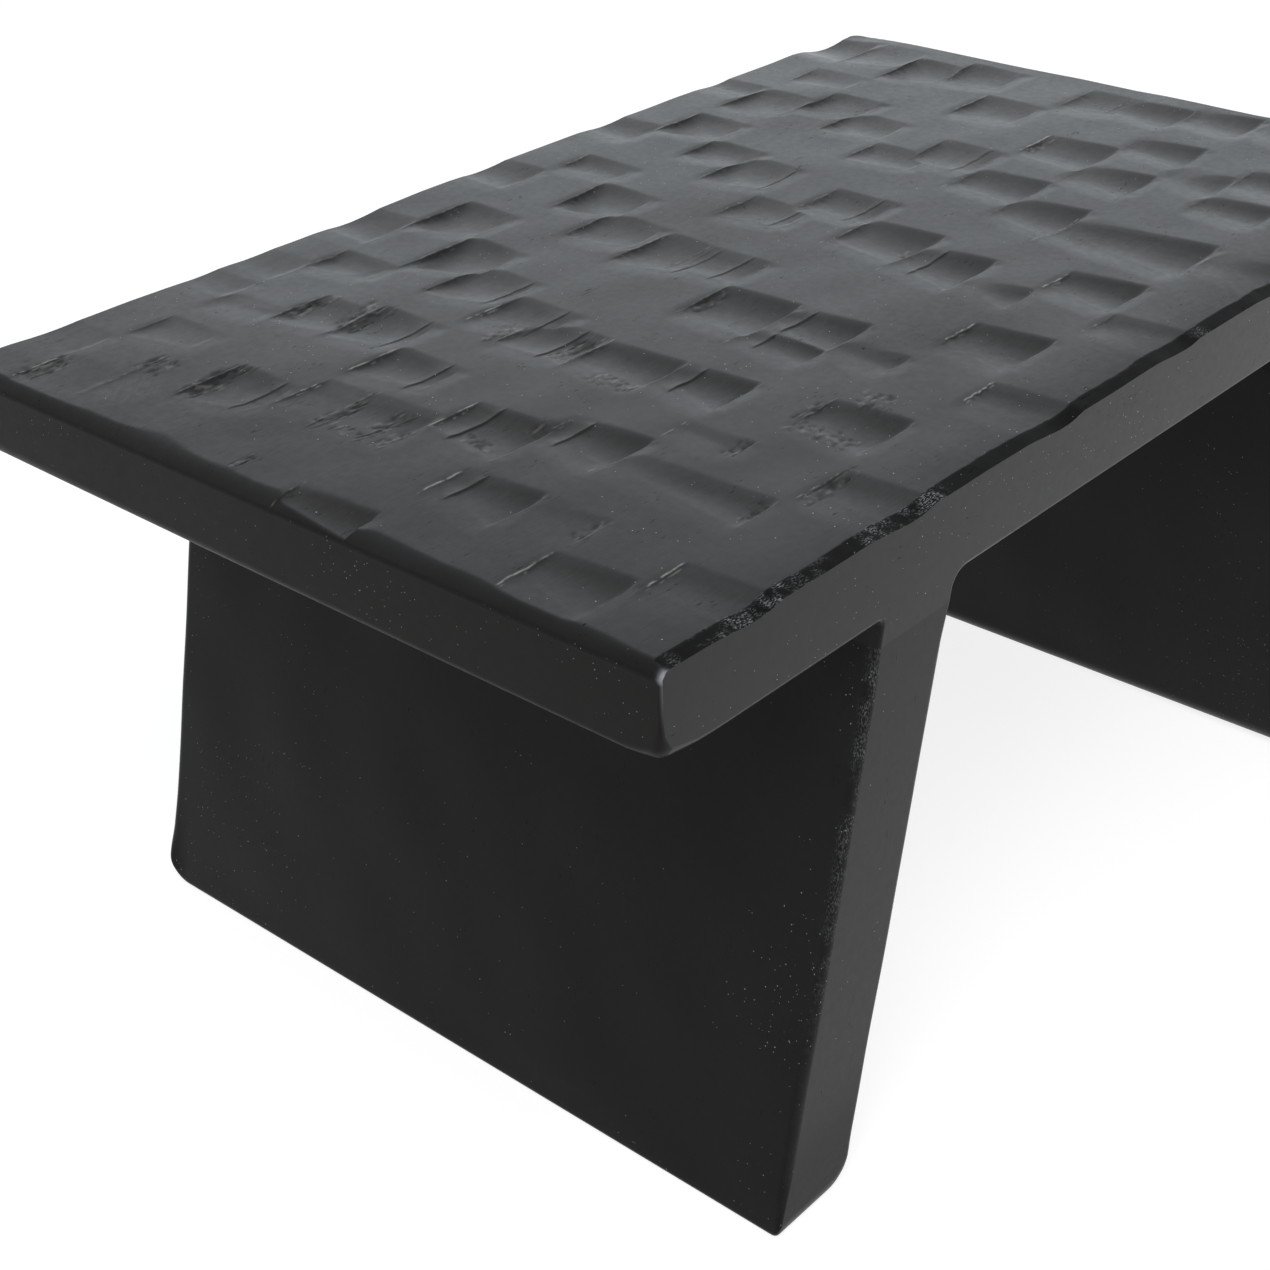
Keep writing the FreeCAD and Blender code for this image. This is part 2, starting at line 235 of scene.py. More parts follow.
def blow(along, start, end, strength, wear, hold):
    """The adze's path along one blow, as depth: it goes in on an arc with a rolled lip, is deepest past
    halfway and comes out on an arc that meets the face at a crisp angle, less so with wear. Beyond both ends
    the depth is below zero. Gives the depth, where it is deepest and how deep, the share of a tilt that each
    place takes, less by the hold where the path comes out, how far its edge is rounded, and how dull it is,
    from the burnished start on."""
    bottom = start + (DEEPEST_SHARE - DEEPEST_SHARE_LOST * wear) * (end - start)
    deepest = strength * 0.5 * (EXIT_SLOPE - EXIT_SLOPE_LOST * wear) * (end - bottom)
    going_in = np.minimum((along - start) / (bottom - start), 1.0)
    inside = np.clip(going_in, 0.0, 1.0)
    arc = inside * (2.0 - inside)
    entry = np.where(going_in < 0.0, 0.8 * going_in, 0.6 * arc + 0.4 * eased(inside ** 0.6))
    coming_out = np.clip((along - bottom) / (end - bottom), 0.0, None)
    dull = eased((along - start) / (end - start) / 0.75 - 0.2)
    tilting = 1.0 - hold * np.clip(coming_out, 0.0, 1.0) ** 2
    softness = 0.03 + 0.09 * (1.0 - inside)
    return deepest * (entry - coming_out ** 2), bottom, deepest, tilting, softness, dull


def hew(along, across):
    """Depth of the adzed face under the flat board at every (across, along), with masks of hewn floor, torn
    fibres, and pale frayed fibres together with a painted sheen on the ridge past each ledge. Across a blow
    the blade lies aslant, so the path sinks from one edge to the other, less the step of a ledge. The wall at
    the near edge is rolled, and the one at the far edge is steep at its brink and runs out into the floor,
    and both wear more towards the back. The face slopes a little towards every blow where the blade goes in
    and on its near side. The deepest blow at a point wins. Under it all the slab has low places, and its
    face is drier towards the near end and the front."""
    along = along[None, :]
    across = across[:, None]
    depth = np.zeros((across.size, along.size))
    raised = np.zeros_like(depth)
    torn = np.zeros_like(depth)
    fray = np.zeros_like(depth)
    hewn = np.zeros_like(depth)
    nap = grain_noise(along, across, 3.2, 0.6, 11)
    chips = 0.7 * grain_noise(along, across, 3.2, 0.6, 12) + 0.7 * grain_noise(along, across, 1.5, 0.8, 13)
    for low, high, force, near_share, far_share, blows in ADZE_ROWS:
        for start, end in blows:
            key = (low, start)
            seed = [low + 100, start + 100]
            hand = np.random.default_rng(seed)
            strength = force * hand.uniform(0.88, 1.12) * FAINT_BLOWS.get(key, 1.0)
            lean = hand.uniform(-0.04, 0.04)
            tear = hand.uniform(0.3, 0.9)
            approach = hand.uniform(0.55, 1.15) * strength
            fuzz = hand.uniform(0.1, 0.5)
            wear = eased((low + 0.4 * start - 110.0) / 170.0)
            hold = 0.8 if far_share > near_share else 0.35
            path, bottom, deepest, tilting, softness, dull = blow(along, start, end, strength, wear, hold)
            from_middle = along - (start + end) / 2.0
            share = np.clip((across - low) / (high - low), 0.0, 1.0)
            far = FAR_SHARES.get(key, far_share)
            tilt = 1.0 - near_share - (far - near_share) * share
            brink = start + (bottom - start) * (1.0 - np.sqrt(1.0 - np.clip(tilt, 0.0, 0.9)))
            drop = deepest * tilt * tilting
            near_edge = low + lean * from_middle + 0.2 * line_noise(along, 2.0, seed + [1])
            fine_tear = line_noise(along, 1.3, seed + [2])
            slow_tear = line_noise(along, 7.0, seed + [3])
            far_edge = high + lean * from_middle + tear * (0.5 * fine_tear + 0.6 * slow_tear)
            near_wall = eased((across - near_edge + 0.5) / (NEAR_WALL + NEAR_WALL_WORN * wear))
            far_inside = np.clip(far_edge - across, 0.0, None)
            far_wall = 1.0 - np.exp(-far_inside / (FAR_WALL + FAR_WALL_WORN * wear))
            if key in LEDGES:
                ledge = LEDGES[key] + lean * from_middle + 0.35 * line_noise(along, 3.0, seed + [4])
                past = np.clip(across - ledge, 0.0, None)
                drop = drop + LEDGE_STEP * (1.0 - 0.5 * wear) * eased(past / (0.4 + 0.5 * wear))
                ridge = eased(past / (0.5 + 0.5 * wear)) * np.exp(-past / 2.4) * eased((path - drop) / 0.5)
                ridge = ridge * (1.0 - 0.5 * wear) * near_wall * far_wall
                raised = np.maximum(raised, LEDGE_RIDGE * ridge)
                # Painted sheen: the ridge past a ledge is lightened with the pale straw colour.
                fray = np.maximum(fray, 0.09 * ridge * eased((past - 0.4) / 1.0))
            cut = softness * np.logaddexp(0.0, (path - drop) / softness) * near_wall * far_wall
            # The slopes of the face towards the blow, where the blade goes in and along the near edge.
            beside = eased((across - low + 2.5) / 8.0) * eased((high + 3.0 - across) / 7.0)
            before_exit = eased((end - along) / (0.5 * (end - start)))
            slope = approach * eased((along - brink + 7.0) / 15.0) * before_exit
            inside = eased((along - start - 1.0) / 6.0) * eased((end - along) / 5.0)
            near_slope = 0.5 * approach * eased((across - low + 4.5) / 6.5)
            near_slope = near_slope * eased((low + 8.0 - across) / 6.0) * inside
            # Pale strands stand in dashes along the far edge and a millimetre below it.
            reach = eased(path / 0.5)
            cover = 0.1
            if key in FRAYED_EDGES:
                first, last = FRAYED_EDGES[key]
                reach = eased((along - first) / 2.0) * eased((last - along) / 2.0)
                cover = 0.7
                fuzz = 1.0
            dashes = fuzz * reach * np.clip(cover + 1.8 * line_noise(along, 1.5, seed + [5]), 0.0, 1.0)
            gaps = np.clip(1.8 * line_noise(along, 1.9, seed + [6]) - 0.3, 0.0, 1.0)
            lower_dashes = 0.5 * fuzz * reach * gaps
            strands = np.maximum(np.exp(-((across - far_edge - 0.1) / STRAND_WIDTH) ** 2) * dashes,
                                 np.exp(-((across - far_edge + 1.0) / STRAND_WIDTH) ** 2) * lower_dashes)
            fray = np.maximum(fray, strands)
            raised = np.maximum(raised, STRAND_HEIGHT * strands)
            ragged = np.exp(-((across - far_edge + 0.5) / 0.6) ** 2) * np.clip(cut / 0.9, 0.0, 0.4)
            torn = np.maximum(torn, ragged)
            hewn = np.where(cut > depth, eased((cut - 0.1) / 0.7) * dull * (1.0 - 0.6 * wear), hewn)
            depth = np.maximum(depth, np.maximum(cut, np.maximum(slope * beside, near_slope)))
    patch_rim = 0.3 * grain_noise(along, across, 4.0, 2.0, 17)
    for first, last, low, high in TORN_PATCHES:
        aside = np.abs(2.0 * along - first - last) / (last - first)
        beyond = np.abs(2.0 * across - low - high) / (high - low)
        patch = eased(2.5 * (1.05 - np.maximum(aside, beyond) - patch_rim))
        torn = np.maximum(torn, patch * np.clip(1.5 * chips, 0.0, 0.8))
        fray = np.maximum(fray, patch * np.clip(-1.2 * chips - 0.55, 0.0, 0.2))
        depth = depth + CHIP_HEIGHT * patch * chips
    first, last, low, high = SCUFF
    scuffed = eased((along - first) / SCUFF_FADE) * eased((last - along) / SCUFF_FADE)
    scuffed = scuffed * eased((across - low) / SCUFF_FADE) * eased((high - across) / SCUFF_FADE)
    with_stroke = np.clip(along + 0.6 * across, 0.0, 400.0)
    over_stroke = np.clip(across - 0.6 * along, 0.0, 300.0)
    scratches = grain_noise(with_stroke, over_stroke, 4.0, 0.6, 18)
    fray = np.maximum(fray, scuffed * np.clip(0.05 * (scratches + 0.5), 0.0, 0.06))
    ground = GROUND_LOW + GROUND_WAVE * ripples(along, across, 25.0, 80.0, 14, 31) + NAP_HEIGHT * hewn * nap
    for *place, low in HOLLOWS:
        ground = ground + low * spot(along, across, *place)
    dry = np.maximum(DRY_END * eased((DRY_END_REACH - along) / DRY_END_REACH),
                     DRY_FRONT * eased((DRY_FRONT_REACH - across) / DRY_FRONT_REACH))
    for *place, amount in DRY_PATCHES:
        dry = np.maximum(dry, amount * spot(along, across, *place))
    return depth + ground - raised, {"hewn": np.maximum(hewn, dry), "torn": torn, "fray": fray}


def arc_points(middle, radius, first, last, count, outward):
    """Points on an arc from angle first to last, in degrees, with the way out of the wood at each."""
    angle = np.radians(np.linspace(first, last, count))
    ray = np.stack([np.cos(angle), np.sin(angle)], axis=1)
    return np.asarray(middle) + radius * ray, outward * ray


def straight_points(start, end, count, outward):
    """Points evenly between start and end, without the two ends, all with the same way out of the wood."""
    share = (np.arange(count) + 1.0)[:, None] / (count + 1.0)
    points = np.asarray(start) + share * (np.asarray(end) - np.asarray(start))
    return points, np.broadcast_to(np.asarray(outward, dtype=float), points.shape)


ARC_LEAD = 0.3
UPPER_POINTS = 476
END_LEVELS = 10


def top_section():
    """The top's section seen from the front: along the upper face, down the far end, back along the underside
    round both shoulders and their coves, and up the near end. Gives each point's place, its way out of the
    wood, how it moves when the lower arris at the end grows by 1 mm, the radius of the arris that it gets at
    a bare long side, and masks of the upper face and of the end grain."""
    lower = LOW_ARRIS_FRONT
    widest = LOW_ARRIS_BACK + 0.5
    eave = SEAT_HEIGHT - END_ARRIS_DOWN
    face_tilt = math.cos(math.radians(LEG_SLOPE))
    outer_middle = UNDERSIDE - OUTER_COVE
    inner_middle = UNDERSIDE - INNER_COVE
    outer_cove = (LEG_OUTER_FOOT + LEG_RUN * outer_middle - OUTER_COVE / face_tilt, outer_middle)
    inner_cove = (LEG_INNER_FOOT + LEG_RUN * inner_middle + INNER_COVE / face_tilt, inner_middle)
    outer_joint = LEG_OUTER_FOOT + LEG_RUN * JOINT_HEIGHT
    inner_joint = LEG_INNER_FOOT + LEG_RUN * JOINT_HEIGHT
    outer_way = (-face_tilt, 0.0)
    inner_way = (face_tilt, 0.0)
    # The underside from the near end to the middle of the top; the far half is its mirror image.
    arc, arc_ways = arc_points((lower, UNDERSIDE + lower), lower, 180.0, 270.0, 9, 1.0)
    lead = arc[:1] + [[0.0, ARC_LEAD]]
    end_round = (np.concatenate([lead, arc]), np.concatenate([arc_ways[:1], arc_ways]))
    half_underside = (
        end_round,
        straight_points((widest, UNDERSIDE), (outer_cove[0], UNDERSIDE), 12, (0.0, -1.0)),
        arc_points(outer_cove, OUTER_COVE, 90.0, -LEG_SLOPE, 7, -1.0),
        (np.array([[outer_joint, JOINT_HEIGHT]]), np.array([outer_way])),
        straight_points((outer_joint, JOINT_HEIGHT), (inner_joint, JOINT_HEIGHT), 4, (0.0, 0.0)),
        (np.array([[inner_joint, JOINT_HEIGHT]]), np.array([inner_way])),
        arc_points(inner_cove, INNER_COVE, 180.0 - LEG_SLOPE, 90.0, 9, -1.0),
        straight_points((inner_cove[0], UNDERSIDE), (TOP_LENGTH / 2.0, UNDERSIDE), 8, (0.0, -1.0)),
    )
    near_half = np.concatenate([points for points, _ in half_underside])
    near_ways = np.concatenate([ways for _, ways in half_underside])
    near_swell = np.zeros_like(near_half)
    near_swell[:len(end_round[1])] = end_round[1] + 1.0
    to_far = np.array([-1.0, 1.0])
    far_corner = np.array([TOP_LENGTH, 0.0])
    # The arris along each end is a chamfer, and its ways out of the wood turn evenly.
    share = np.linspace(0.0, 1.0, 11)
    turn = np.radians(90.0) * share
    end_arris = np.stack([END_ARRIS_ACROSS * share, np.full(share.size, SEAT_HEIGHT)], axis=1)
    end_ways = np.stack([-np.cos(turn), np.sin(turn)], axis=1)
    upper_face = np.linspace(END_ARRIS_ACROSS + 0.8, TOP_LENGTH - END_ARRIS_ACROSS - 0.8, UPPER_POINTS)
    parts = (
        (end_arris, end_ways),
        (np.stack([upper_face, np.full(upper_face.size, SEAT_HEIGHT)], axis=1),
         np.broadcast_to((0.0, 1.0), (upper_face.size, 2))),
        (end_arris[::-1] * to_far + far_corner, end_ways[::-1] * to_far),
        straight_points((TOP_LENGTH, eave), (TOP_LENGTH, UNDERSIDE + widest), END_LEVELS, (1.0, 0.0)),
        (near_half * to_far + far_corner, near_ways * to_far),
        (near_half[::-1], near_ways[::-1]),
        straight_points((0.0, UNDERSIDE + widest), (0.0, eave), END_LEVELS, (-1.0, 0.0)),
    )
    points = np.concatenate([place for place, _ in parts])
    ways = np.concatenate([way for _, way in parts])
    sizes = [len(place) for place, _ in parts]
    swell = np.zeros_like(points)
    far_first = sum(sizes[:4])
    swell[far_first:far_first + 2 * len(near_half)] = np.concatenate([near_swell * to_far, near_swell[::-1]])
    upper = np.repeat([1.0, 1.0, 1.0, 0.0, 0.0, 0.0, 0.0], sizes)
    end_grain = np.repeat([0.0, 0.0, 0.0, 1.0, 0.0, 0.0, 1.0], sizes)
    # The round under each end shows end grain as well, over the upper half of its turn.
    end_grain = np.where(swell[:, 1] > 0.2, 1.0, end_grain)
    depth_share = np.clip((SEAT_HEIGHT - points[:, 1]) / (SEAT_HEIGHT - UNDERSIDE), 0.0, 1.0)
    from_end = np.minimum(points[:, 0], TOP_LENGTH - points[:, 0])
    below = SIDE_ARRIS + (LOW_CORNER - SIDE_ARRIS) * np.clip(1.0 - from_end / 25.0, 0.0, 1.0) ** 2
    radius = UPPER_CORNER + (below - UPPER_CORNER) * depth_share ** 5
    return points, ways, swell, radius, upper, end_grain


def inset(radius, from_face):
    """How far a rounded arris has drawn in at a distance from the bare face: a quarter circle."""
    left = np.clip(radius - from_face, 0.0, None)
    return radius - np.sqrt(np.clip(radius ** 2 - left ** 2, 0.0, None))


FINE_STEP = 0.25
COARSE_EVERY = 4


def lines_across(first, last, creases, bare_first, bare_last):
    """Where the section is repeated across a board: every 1 mm, every 0.25 mm over the spans of the creases,
    and on a bare long side at the points of the arris's quarter circle."""
    ticks = np.arange(1, round((last - first) / FINE_STEP))
    places = first + FINE_STEP * ticks
    keep = ticks % COARSE_EVERY == 0
    for low, high in creases:
        keep |= (places > low) & (places < high)
    roll = LOW_CORNER * (1.0 - np.sin(np.radians(np.arange(90.0, -1.0, -11.25))))
    if bare_first:
        keep &= places > first + LOW_CORNER + 0.2
    if bare_last:
        keep &= places < last - LOW_CORNER - 0.2
    start = first + roll if bare_first else np.array([first])
    finish = last - roll[::-1] if bare_last else np.array([last])
    return np.concatenate([start, places[keep], finish])


def carry_section(name, rings, masks, folds):
    """A closed solid from a section carried across: rings[j, i] is point i of the section at line j, in
    millimetres from the near front corner on the floor. Neighbours make four-sided faces right round the
    section, and the first and the last section are each closed with one flat face. The shading is smooth but
    for the rims of those two faces and the points of the section that are marked as folds."""
    line_count, around, _ = rings.shape
    here = np.arange(line_count * around).reshape(line_count, around)
    beside = np.roll(here, -1, axis=1)
    sides = np.stack([here[:-1], beside[:-1], beside[1:], here[1:]], axis=-1).reshape(-1, 4)
    faces = sides.tolist() + [here[0][::-1].tolist(), here[-1].tolist()]
    middle = np.array([TOP_LENGTH / 2.0, TOP_WIDTH / 2.0, 0.0])
    mesh = bpy.data.meshes.new(name)
    mesh.from_pydata((rings.reshape(-1, 3) - middle) * MM, [], faces)
    smooth = np.ones(len(faces), dtype=bool)
    smooth[-2:] = False
    mesh.polygons.foreach_set("use_smooth", smooth)
    ends = np.empty(len(mesh.edges) * 2, dtype=np.int32)
    mesh.edges.foreach_get("vertices", ends)
    line_of, point_of = np.divmod(ends.reshape(-1, 2), around)
    at_cap = (line_of[:, 0] == line_of[:, 1]) & ((line_of[:, 0] == 0) | (line_of[:, 0] == line_count - 1))
    at_fold = (point_of[:, 0] == point_of[:, 1]) & folds[point_of[:, 0]]
    mesh.attributes.new("sharp_edge", "BOOLEAN", "EDGE").data.foreach_set("value", at_cap | at_fold)
    # The masks are kept at the corners of the faces, so that the two flat faces stay clear of them.
    corners = np.concatenate([sides.ravel(), here[0][::-1], here[-1]])
    on_sides = np.arange(corners.size) < sides.size
    for mask_name, values in masks.items():
        layer = mesh.attributes.new(mask_name, "FLOAT", "CORNER")
        layer.data.foreach_set("value", (values.ravel()[corners] * on_sides).astype(np.float32))
    mesh.update()
    piece = bpy.data.objects.new(name, mesh)
    bpy.context.scene.collection.objects.link(piece)
    return piece


def other_materials(piece, at_point, dull, of_flat_faces):
    """Gives the piece's second material to the faces between neighbouring points of the section that are
    marked, its last one to those whose corners are dull on the mean, and the material of that number to the
    two flat faces."""
    marked = np.tile(at_point & np.roll(at_point, -1), (dull.shape[0] - 1, 1))
    across = dull[:-1] + dull[1:]
    is_dull = across + np.roll(across, -1, axis=1) > 2.0
    index = np.where(is_dull, len(piece.data.materials) - 1, marked.astype(int)).ravel()
    index = np.concatenate([index, [of_flat_faces] * 2]).astype(np.int32)
    piece.data.polygons.foreach_set("material_index", index)


FAR_FROM_FACE = 99.0
# The painted highlight at a bare front corner: where its tip lies and how far it reaches, and the line down
# the corner.
TIP_FROM_END = 0.7
TIP_ALONG = 1.5
TIP_ACROSS = 1.2
CORNER_LINE_WIDTH = 0.35
CORNER_LINE_FOOT = 212.0
CORNER_LINE_RISE = 20.0


def top_board(number, section):
    """One board of the top: the section is repeated across the board and drawn in at a bare long side by a
    quarter circle, and its upper points sink to the hewn face or to the chamfer round the edge, whichever is
    lower. Along the front the chamfer follows the depth of the face behind it."""
    points, ways, swell, radius, upper, end_grain = section
    first = BOARD_WIDTH * (number - 1)
    last = BOARD_WIDTH * number
    bare_first = number == 1
    bare_last = number == BOARD_COUNT
    creases = [(row[0] - 0.5, row[0] + 1.4) for row in ADZE_ROWS]
    creases += [(row[1] - 1.6, row[1] + 0.6) for row in ADZE_ROWS]
    creases += [(ledge - 0.5, ledge + 1.1) for ledge in LEDGES.values()]
    creases += [(LONG_ARRIS_ACROSS - 1.0, LONG_ARRIS_ACROSS + 2.0)]
    across = lines_across(first, last, creases, bare_first, bare_last)
    from_face = np.full(across.size, FAR_FROM_FACE)
    if bare_first:
        from_face = np.minimum(from_face, across - first)
    if bare_last:
        from_face = np.minimum(from_face, last - across)
    along = points[None, :, 0]
    from_face = from_face[:, None]
    from_end = np.minimum(along, TOP_LENGTH - along)
    depth, masks = hew(np.clip(points[:, 0], 0.5, TOP_LENGTH - 0.5), across)
    # The chamfer along the long side, and the one along the end, which widens from the front.
    unevenness = LONG_ARRIS_UNEVEN * line_noise(along, 11.0, 61)
    long_width = LONG_ARRIS_ACROSS * (1.0 + unevenness + LONG_ARRIS_NICKS * line_noise(along, 2.5, 62))
    long_share = 1.0 - from_face / long_width
    long_chamfer = LONG_ARRIS_DOWN * long_share
    if bare_first:
        behind = depth[np.argmin(np.abs(across - first - LONG_ARRIS_ACROSS))]
        dip = 1.0 + LONG_ARRIS_DIP * np.clip(long_share, 0.0, None)
        long_chamfer = long_chamfer + behind[None, :] * dip
    if bare_last:
        long_chamfer = BACK_ARRIS_DOWN * (1.0 - from_face / BACK_ARRIS_ACROSS)
        radius = np.where(from_end[0] < END_ARRIS_ACROSS, np.maximum(radius, BACK_UPPER_CORNER), radius)
    end_growth = END_ARRIS_GROWTH * eased(across[:, None] / END_ARRIS_REACH)
    end_unevenness = END_ARRIS_UNEVEN * line_noise(across[:, None], 14.0, 63)
    end_width = END_ARRIS_ACROSS * (END_ARRIS_LEAST + end_growth + end_unevenness)
    towards_end = np.clip(1.0 - from_end / end_width, -1.0, 1.0)
    end_chamfer = END_ARRIS_DOWN * towards_end * (0.12 + 0.88 * np.abs(towards_end))
    chamfer = np.maximum(long_chamfer, end_chamfer)
    sunk = np.maximum(depth, chamfer) * upper[None, :]
    drawn_in = inset(radius[None, :], from_face)
    arris_growth = (LOW_ARRIS_BACK - LOW_ARRIS_FRONT) * np.clip(across / TOP_WIDTH, 0.0, 1.0)[:, None] ** 1.5
    corner_growth = (LOW_CORNER + 0.2 - LOW_ARRIS_FRONT) * (1.0 - eased(from_face / 14.0))
    arris_growth = np.maximum(arris_growth, corner_growth)
    rings = np.empty((across.size, points.shape[0], 3))
    rings[:, :, 0] = along + swell[None, :, 0] * arris_growth - ways[None, :, 0] * drawn_in
    rings[:, :, 1] = across[:, None]
    lowered = sunk + ways[None, :, 1] * drawn_in * (1.0 - upper[None, :])
    rings[:, :, 2] = points[None, :, 1] + swell[None, :, 1] * arris_growth - lowered
    # The masks: the chamfers, where the long ones carry pale flecks of wear and painted glints, and the
    # bright tip and line at a bare corner, a painted highlight.
    edge = np.clip(4.0 * (chamfer - depth + 0.15), 0.0, 1.0) * upper[None, :]
    on_long = edge * (long_chamfer > end_chamfer)
    rubbing_and_glints = np.zeros_like(along)
    for start, end, amount in RUBBED_AND_GLINT_SPANS:
        rubbing_and_glints = np.maximum(rubbing_and_glints, amount * eased((along - start) / 4.0) * eased((end - along) / 4.0))
    tip = np.exp(-((from_end - TIP_FROM_END) / TIP_ALONG) ** 2 - (from_face / TIP_ACROSS) ** 2)
    up_the_corner = eased((points[None, :, 1] - CORNER_LINE_FOOT) / CORNER_LINE_RISE)
    corner_line = np.exp(-(from_face / CORNER_LINE_WIDTH) ** 2) * end_grain[None, :] * up_the_corner
    masks = {name: values * upper[None, :] for name, values in masks.items()}
    masks["edge"] = edge
    masks["rubbed"] = on_long * rubbing_and_glints
    masks["worn"] = np.maximum(tip * upper[None, :], 0.3 * corner_line) * (not bare_last)
    masks["end_grain"] = np.broadcast_to(end_grain[None, :], depth.shape)
    folds = np.isclose(points[:, 1], JOINT_HEIGHT) & (np.abs(ways[:, 0]) > 0.5)
    board = carry_section(f"hewn_board_{number}", rings, masks, folds)
    for material in (top_wood, end_wood, side_wood, arris_wood):
        board.data.materials.append(material)
    other_materials(board, end_grain > 0.5, on_long * bare_first, 2)
    return board


def node(tree, kind, settings=None, **values):
    """A shader node with its settings and the values of its inputs, by name, or by number after an
    underscore. A value that is a socket is linked and anything else is set."""
    made = tree.nodes.new(kind)
    for key, value in (settings or {}).items():
        setattr(made, key, value)
    for key, value in values.items():
        socket = made.inputs[int(key[1:]) if key.startswith("_") else key]
        if isinstance(value, bpy.types.NodeSocket):
            tree.links.new(value, socket)
        else:
            socket.default_value = value
    return made


def new_group(name, inputs, outputs):
    """An empty shader node group with named inputs and outputs. Gives the group, its inputs and its output
    node."""
    tree = bpy.data.node_groups.new(name, "ShaderNodeTree")
    for label, kind in inputs.items():
        tree.interface.new_socket(name=label, in_out="INPUT", socket_type=kind)
    for label, kind in outputs.items():
        tree.interface.new_socket(name=label, in_out="OUTPUT", socket_type=kind)
    entry = tree.nodes.new("NodeGroupInput")
    leave = tree.nodes.new("NodeGroupOutput")
    return tree, entry.outputs, leave


FLOAT = "NodeSocketFloat"
VECTOR = "NodeSocketVector"


def math_node(tree, operation, first, second=0.0):
    """The sum, product or other operation of two values."""
    return node(tree, "ShaderNodeMath", {"operation": operation}, _0=first, _1=second).outputs[0]


def ramp(tree, value, low, high):
    """The value stretched so that low becomes 0 and high becomes 1, smooth at both ends."""
    settings = {"interpolation_type": "SMOOTHSTEP"}
    return node(tree, "ShaderNodeMapRange", settings, _0=value, _1=low, _2=high, _3=0.0, _4=1.0).outputs[0]


def scaled(tree, vector, scale):
    """The vector with each of its three parts multiplied by that part of the scale."""
    return node(tree, "ShaderNodeVectorMath", {"operation": "MULTIPLY"}, _0=vector, _1=scale).outputs[0]


def grain_group():
    """Open-grained wood with its fibres along the vector's X: fine streaks, short dark pores that stand in
    loose clusters, and a soft mottle."""
    outputs = {"Streaks": FLOAT, "Pores": FLOAT, "Mottle": FLOAT}
    tree, entry, leave = new_group("open_grain", {"Vector": VECTOR}, outputs)
    streaks = node(tree, "ShaderNodeTexNoise", _0=scaled(tree, entry["Vector"], (60.0, 900.0, 900.0)),
                   Scale=1.0, Detail=3.0, Roughness=0.6).outputs[0]
    pores = node(tree, "ShaderNodeTexNoise", _0=scaled(tree, entry["Vector"], (260.0, 1900.0, 1900.0)),
                 Scale=1.0, Detail=1.0, Roughness=0.5).outputs[0]
    clusters = node(tree, "ShaderNodeTexNoise", _0=scaled(tree, entry["Vector"], (70.0, 110.0, 110.0)),
                    Scale=1.0, Detail=1.0).outputs[0]
    mottle = node(tree, "ShaderNodeTexNoise", _0=entry["Vector"],
                  Scale=300.0, Detail=3.0, Roughness=0.6).outputs[0]
    picked = math_node(tree, "MULTIPLY", ramp(tree, pores, 0.64, 0.73), ramp(tree, clusters, 0.56, 0.70))
    tree.links.new(streaks, leave.inputs["Streaks"])
    tree.links.new(picked, leave.inputs["Pores"])
    tree.links.new(mottle, leave.inputs["Mottle"])
    return tree


def dust_group():
    """Fine pale specks: the middles of a few random cells out of many, thicker where a slow noise is high."""
    tree, entry, leave = new_group("dust_specks", {"Vector": VECTOR, "Amount": FLOAT}, {"Specks": FLOAT})
    total = None
    drift = node(tree, "ShaderNodeTexNoise", _0=entry["Vector"], Scale=16.0, Detail=2.0).outputs[0]
    thick = math_node(tree, "MULTIPLY", ramp(tree, drift, 0.35, 0.7), entry["Amount"])
    for scale, size in ((330.0, 0.085), (620.0, 0.12)):
        cells = node(tree, "ShaderNodeTexVoronoi", _0=entry["Vector"], Scale=scale, Randomness=1.0)
        chance = node(tree, "ShaderNodeSeparateColor", _0=cells.outputs["Color"]).outputs[0]
        picked = math_node(tree, "LESS_THAN", chance, thick)
        core = ramp(tree, cells.outputs["Distance"], size, size * 0.4)
        speck = math_node(tree, "MULTIPLY", core, picked)
        total = speck if total is None else math_node(tree, "MAXIMUM", total, speck)
    tree.links.new(total, leave.inputs["Specks"])
    return tree


def fleck_group():
    """Pale flecks, part wood laid bare by wear and part painted glints, drawn out along the vector's X: a
    fine noise cut off high, in patches.
    """
    tree, entry, leave = new_group("rubbed_flecks", {"Vector": VECTOR, "Amount": FLOAT}, {"Flecks": FLOAT})
    fine = node(tree, "ShaderNodeTexNoise", _0=scaled(tree, entry["Vector"], (1000.0, 2600.0, 2600.0)),
                Scale=1.0, Detail=2.0, Roughness=0.6).outputs[0]
    patches = node(tree, "ShaderNodeTexNoise", _0=entry["Vector"], Scale=180.0, Detail=2.0).outputs[0]
    picked = math_node(tree, "MULTIPLY", ramp(tree, fine, 0.46, 0.68), ramp(tree, patches, 0.35, 0.6))
    tree.links.new(math_node(tree, "MULTIPLY", picked, entry["Amount"]), leave.inputs["Flecks"])
    return tree


open_grain = grain_group()
dust_specks = dust_group()
rubbed_flecks = fleck_group()


def mixed(tree, share, first, second):
    """The first colour, going over to the second as the share goes from 0 to 1."""
    return node(tree, "ShaderNodeMix", {"data_type": "RGBA"}, _0=share, _6=first, _7=second).outputs[2]


def mask(tree, name):
    """The mask of that name on the piece's mesh, or 0 where the piece has none."""
    return node(tree, "ShaderNodeAttribute", {"attribute_name": name}).outputs["Fac"]


def added(tree, value, share, amount):
    """The value with share times amount added to it."""
    total = math_node(tree, "MULTIPLY_ADD", share, amount)
    tree.links.new(value, total.node.inputs[2])
    return total


